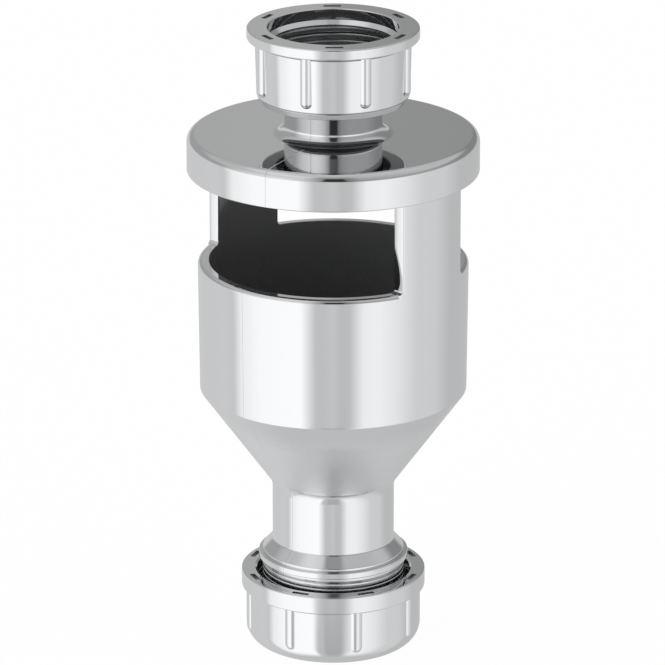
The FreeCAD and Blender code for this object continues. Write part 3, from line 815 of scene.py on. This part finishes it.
def blend(base, mask, level):
    """Base brightness, with a panel of another brightness laid over it."""
    return base * (1 - mask) + mask * level


def panels(value, stops):
    """Brightness along an angle, in straight runs between (angle, brightness) stops."""
    low, high = stops[0][0], stops[-1][0]
    share = node(sky, "ShaderNodeMapRange", {}, {"Value": value, "From Min": low, "From Max": high})
    shares = [((angle - low) / (high - low), level) for angle, level in stops]
    return node(sky, "ShaderNodeValToRGB", {"stops": shares}, {0: share})


low_sky = panels(side, [
    (-180, 0.50), (-160, 0.56), (-108, 0.61), (-95, 0.59), (-86, 0.88), (-66, 1.0), (-28, 1.03),
    (-15, 0.55), (-8, 0.55), (0, 0.58), (7, 0.52), (14, 0.54), (26, 0.88), (40, 0.91),
    (58, 0.80), (76, 0.64), (98, 0.62), (118, 0.50), (160, 0.48), (180, 0.50),
])
below = 1 - step_up(sky, rise, *BELOW_GAP)
low_sky = blend(low_sky, band(side, -13, 12, 3) * below, GAP_LEVEL)
low_sky = blend(low_sky, band(side, -22, -13, 4) * below, GAP_SIDE_LEVEL)
high_sky = panels(side, [
    (-180, 0.39), (-170, 0.33), (-102, 0.35), (-90, 0.48), (-80, 0.60), (-60, 0.72), (-40, 0.76),
    (-30, 0.67), (-20, 0.53), (-9, 0.25), (9, 0.15), (20, 0.29), (40, 0.35), (84, 0.34),
    (120, 0.25), (170, 0.22), (180, 0.285),
])
middle_sky = panels(side, [
    (-180, 0.40), (-90, 0.50), (-60, 0.62), (-28, 0.62), (-12, 0.30), (12, 0.20), (26, 0.38),
    (60, 0.42), (100, 0.50), (180, 0.45),
])
top_sky = panels(side, [
    (-180, 0.55), (-60, 0.72), (-30, 0.62), (-18, 0.29), (18, 0.29), (32, 0.46), (90, 0.50),
    (180, 0.55),
])
brightness = blend(low_sky, step_up(sky, rise, 1, 10), high_sky)
brightness = blend(brightness, step_up(sky, rise, 24, 36), middle_sky)
booth = band(side, -8.5, 10, 2.5) * band(rise, 12, 51, 3)
brightness = blend(brightness, booth, BOOTH_LEVEL)
brightness = blend(brightness, step_up(sky, rise, 48, 60), top_sky)
brightness = blend(brightness, step_up(sky, rise, 64, 85), CEILING_LEVEL)
nadir = 1 - step_up(sky, rise, -75, -45)
brightness = blend(brightness, nadir, NADIR_LEVEL) * LIGHT
camera_ray = node(sky, "ShaderNodeLightPath", output=0)
brightness = blend(brightness, camera_ray, 1.0)
sky_shader = node(sky, "ShaderNodeBackground", {}, {"Color": (1, 1, 1, 1), "Strength": brightness})
sky_out = sky.nodes.new("ShaderNodeOutputWorld")
sky.links.new(sky_shader.socket, sky_out.inputs["Surface"])
print("sky nodes", len(sky.nodes))

# %% [markdown]
# ## Floor
# The photograph's ground is plain white. A wide pale sheet gives it: seen by the camera it is
# white paper, and it keeps a breath of the piece's shadow. The chrome doesn't see the sheet, since
# the painted sky below the horizon stands for its light.

# %% Floor
FLOOR_RADIUS = 9.0
GLOW, GLOW_SHARE = 1.04, 0.92
floor_mesh = bmesh.new()
bmesh.ops.create_circle(floor_mesh, cap_ends=True, segments=96, radius=FLOOR_RADIUS)
floor_data = bpy.data.meshes.new("floor")
floor_mesh.to_mesh(floor_data)
floor_mesh.free()
floor = bpy.data.objects.new("floor", floor_data)
bpy.context.scene.collection.objects.link(floor)
floor.visible_glossy = False
paper, tree, shader = new_material("white_paper")
shader.inputs["Base Color"].default_value = (0.9, 0.9, 0.9, 1)
shader.inputs["Roughness"].default_value = 0.9
glow = node(tree, "ShaderNodeEmission", {}, {"Color": (1, 1, 1, 1), "Strength": GLOW})
rays = tree.nodes.new("ShaderNodeLightPath").outputs
seen = Wire(tree, rays["Is Camera Ray"])
plain = Wire(tree, shader.outputs[0])
mixed = node(tree, "ShaderNodeMixShader", {}, {0: seen * GLOW_SHARE, 1: plain, 2: glow})
tree.links.new(mixed.socket, tree.nodes["Material Output"].inputs["Surface"])
floor_data.materials.append(paper)
print("floor", 2 * FLOOR_RADIUS, "m across")

# %% [markdown]
# ## Camera
# The photograph looks down on the piece by about nineteen degrees from nearly two metres, so the
# lens is long.

# %% Camera
CAMERA_RISE = math.radians(18.80)
CAMERA_DISTANCE = 1940 * MM
AIM = Vector((0, 0, 105.5 * MM)) - RIGHT * 0.25 * MM
FOCAL_PIXELS, FRAME_PIXELS, SENSOR = 6008, 665, 36.0
back = FRONT * math.cos(CAMERA_RISE) + Vector((0, 0, math.sin(CAMERA_RISE)))
lens = bpy.data.cameras.new("camera")
lens.sensor_width = SENSOR
lens.lens = FOCAL_PIXELS / FRAME_PIXELS * SENSOR
lens.clip_end = 50
camera = bpy.data.objects.new("camera", lens)
bpy.context.scene.collection.objects.link(camera)
camera.location = AIM + back * CAMERA_DISTANCE
camera.rotation_mode = "QUATERNION"
camera.rotation_quaternion = (-back).to_track_quat("-Z", "Y")
bpy.context.scene.camera = camera
bpy.context.scene.view_settings.view_transform = "Standard"
print("lens", round(lens.lens, 1), "mm")
